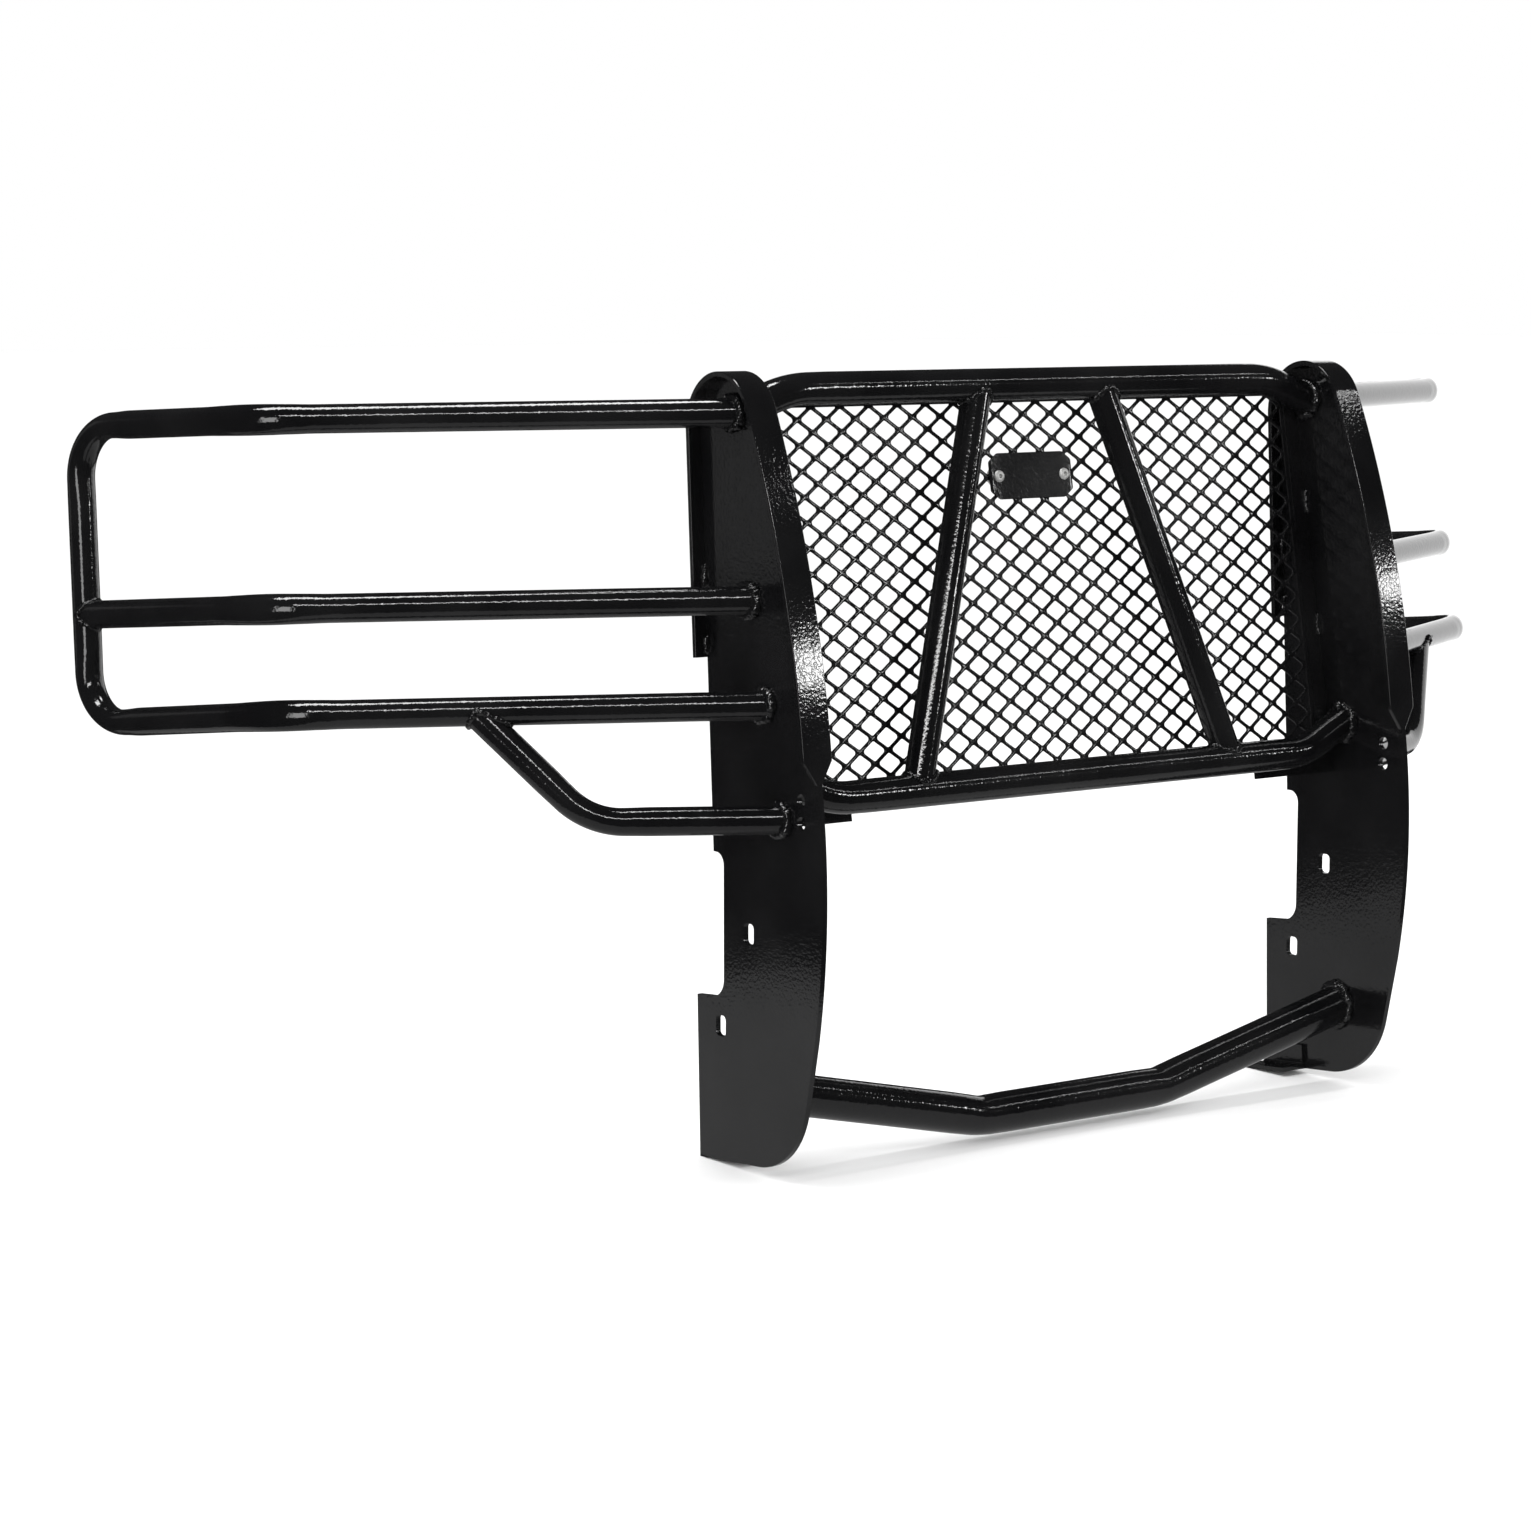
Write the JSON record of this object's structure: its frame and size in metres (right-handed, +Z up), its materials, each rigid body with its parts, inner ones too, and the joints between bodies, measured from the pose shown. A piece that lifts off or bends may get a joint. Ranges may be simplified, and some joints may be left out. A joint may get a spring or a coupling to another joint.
{
  "type": "front grille guard",
  "caption": "Welded steel front grille guard with a mesh panel, V bars, plate uprights and tubular headlight wings.",
  "frame": {"origin": "centre of the guard in plan, at the height of the lowest point of the lower plates", "axes": "+X along the guard's width, +Y from its front face towards the vehicle, +Z up"},
  "size_m": [1.9742, 0.7188, 0.8895],
  "materials": {
    "guard_paint": "gloss black powder coat",
    "mesh_paint": "gloss black powder coat on pressed mesh",
    "badge_paint": "satin black powder coat",
    "bolt_steel": "bright stainless steel"
  },
  "bodies": {
    "root": {"upright_web_left": "guard_paint", "upright_web_right": "guard_paint", "lower_plate_left": "guard_paint", "lower_plate_right": "guard_paint", "cap_strip_left": "guard_paint", "cap_strip_right": "guard_paint", "wing_loop_tube_left": "guard_paint", "wing_loop_tube_right": "guard_paint", "wing_middle_tube_left": "guard_paint", "wing_middle_tube_right": "guard_paint", "wing_brace_tube_left": "guard_paint", "wing_brace_tube_right": "guard_paint", "v_bar_left": "guard_paint", "v_bar_right": "guard_paint", "mesh_side_bar_left": "mesh_paint", "mesh_side_bar_right": "mesh_paint", "mesh_tab_left": "guard_paint", "mesh_tab_right": "guard_paint", "foot_bracket_left": "guard_paint", "foot_bracket_right": "guard_paint", "grille_top_tube": "guard_paint", "grille_bottom_tube": "guard_paint", "grille_mesh": "mesh_paint", "badge_plate": "badge_paint", "badge_bolts": "bolt_steel", "badge_washers": "bolt_steel", "badge_nuts": "bolt_steel", "lower_cross_bar": "guard_paint"}
  },
  "joints": []
}
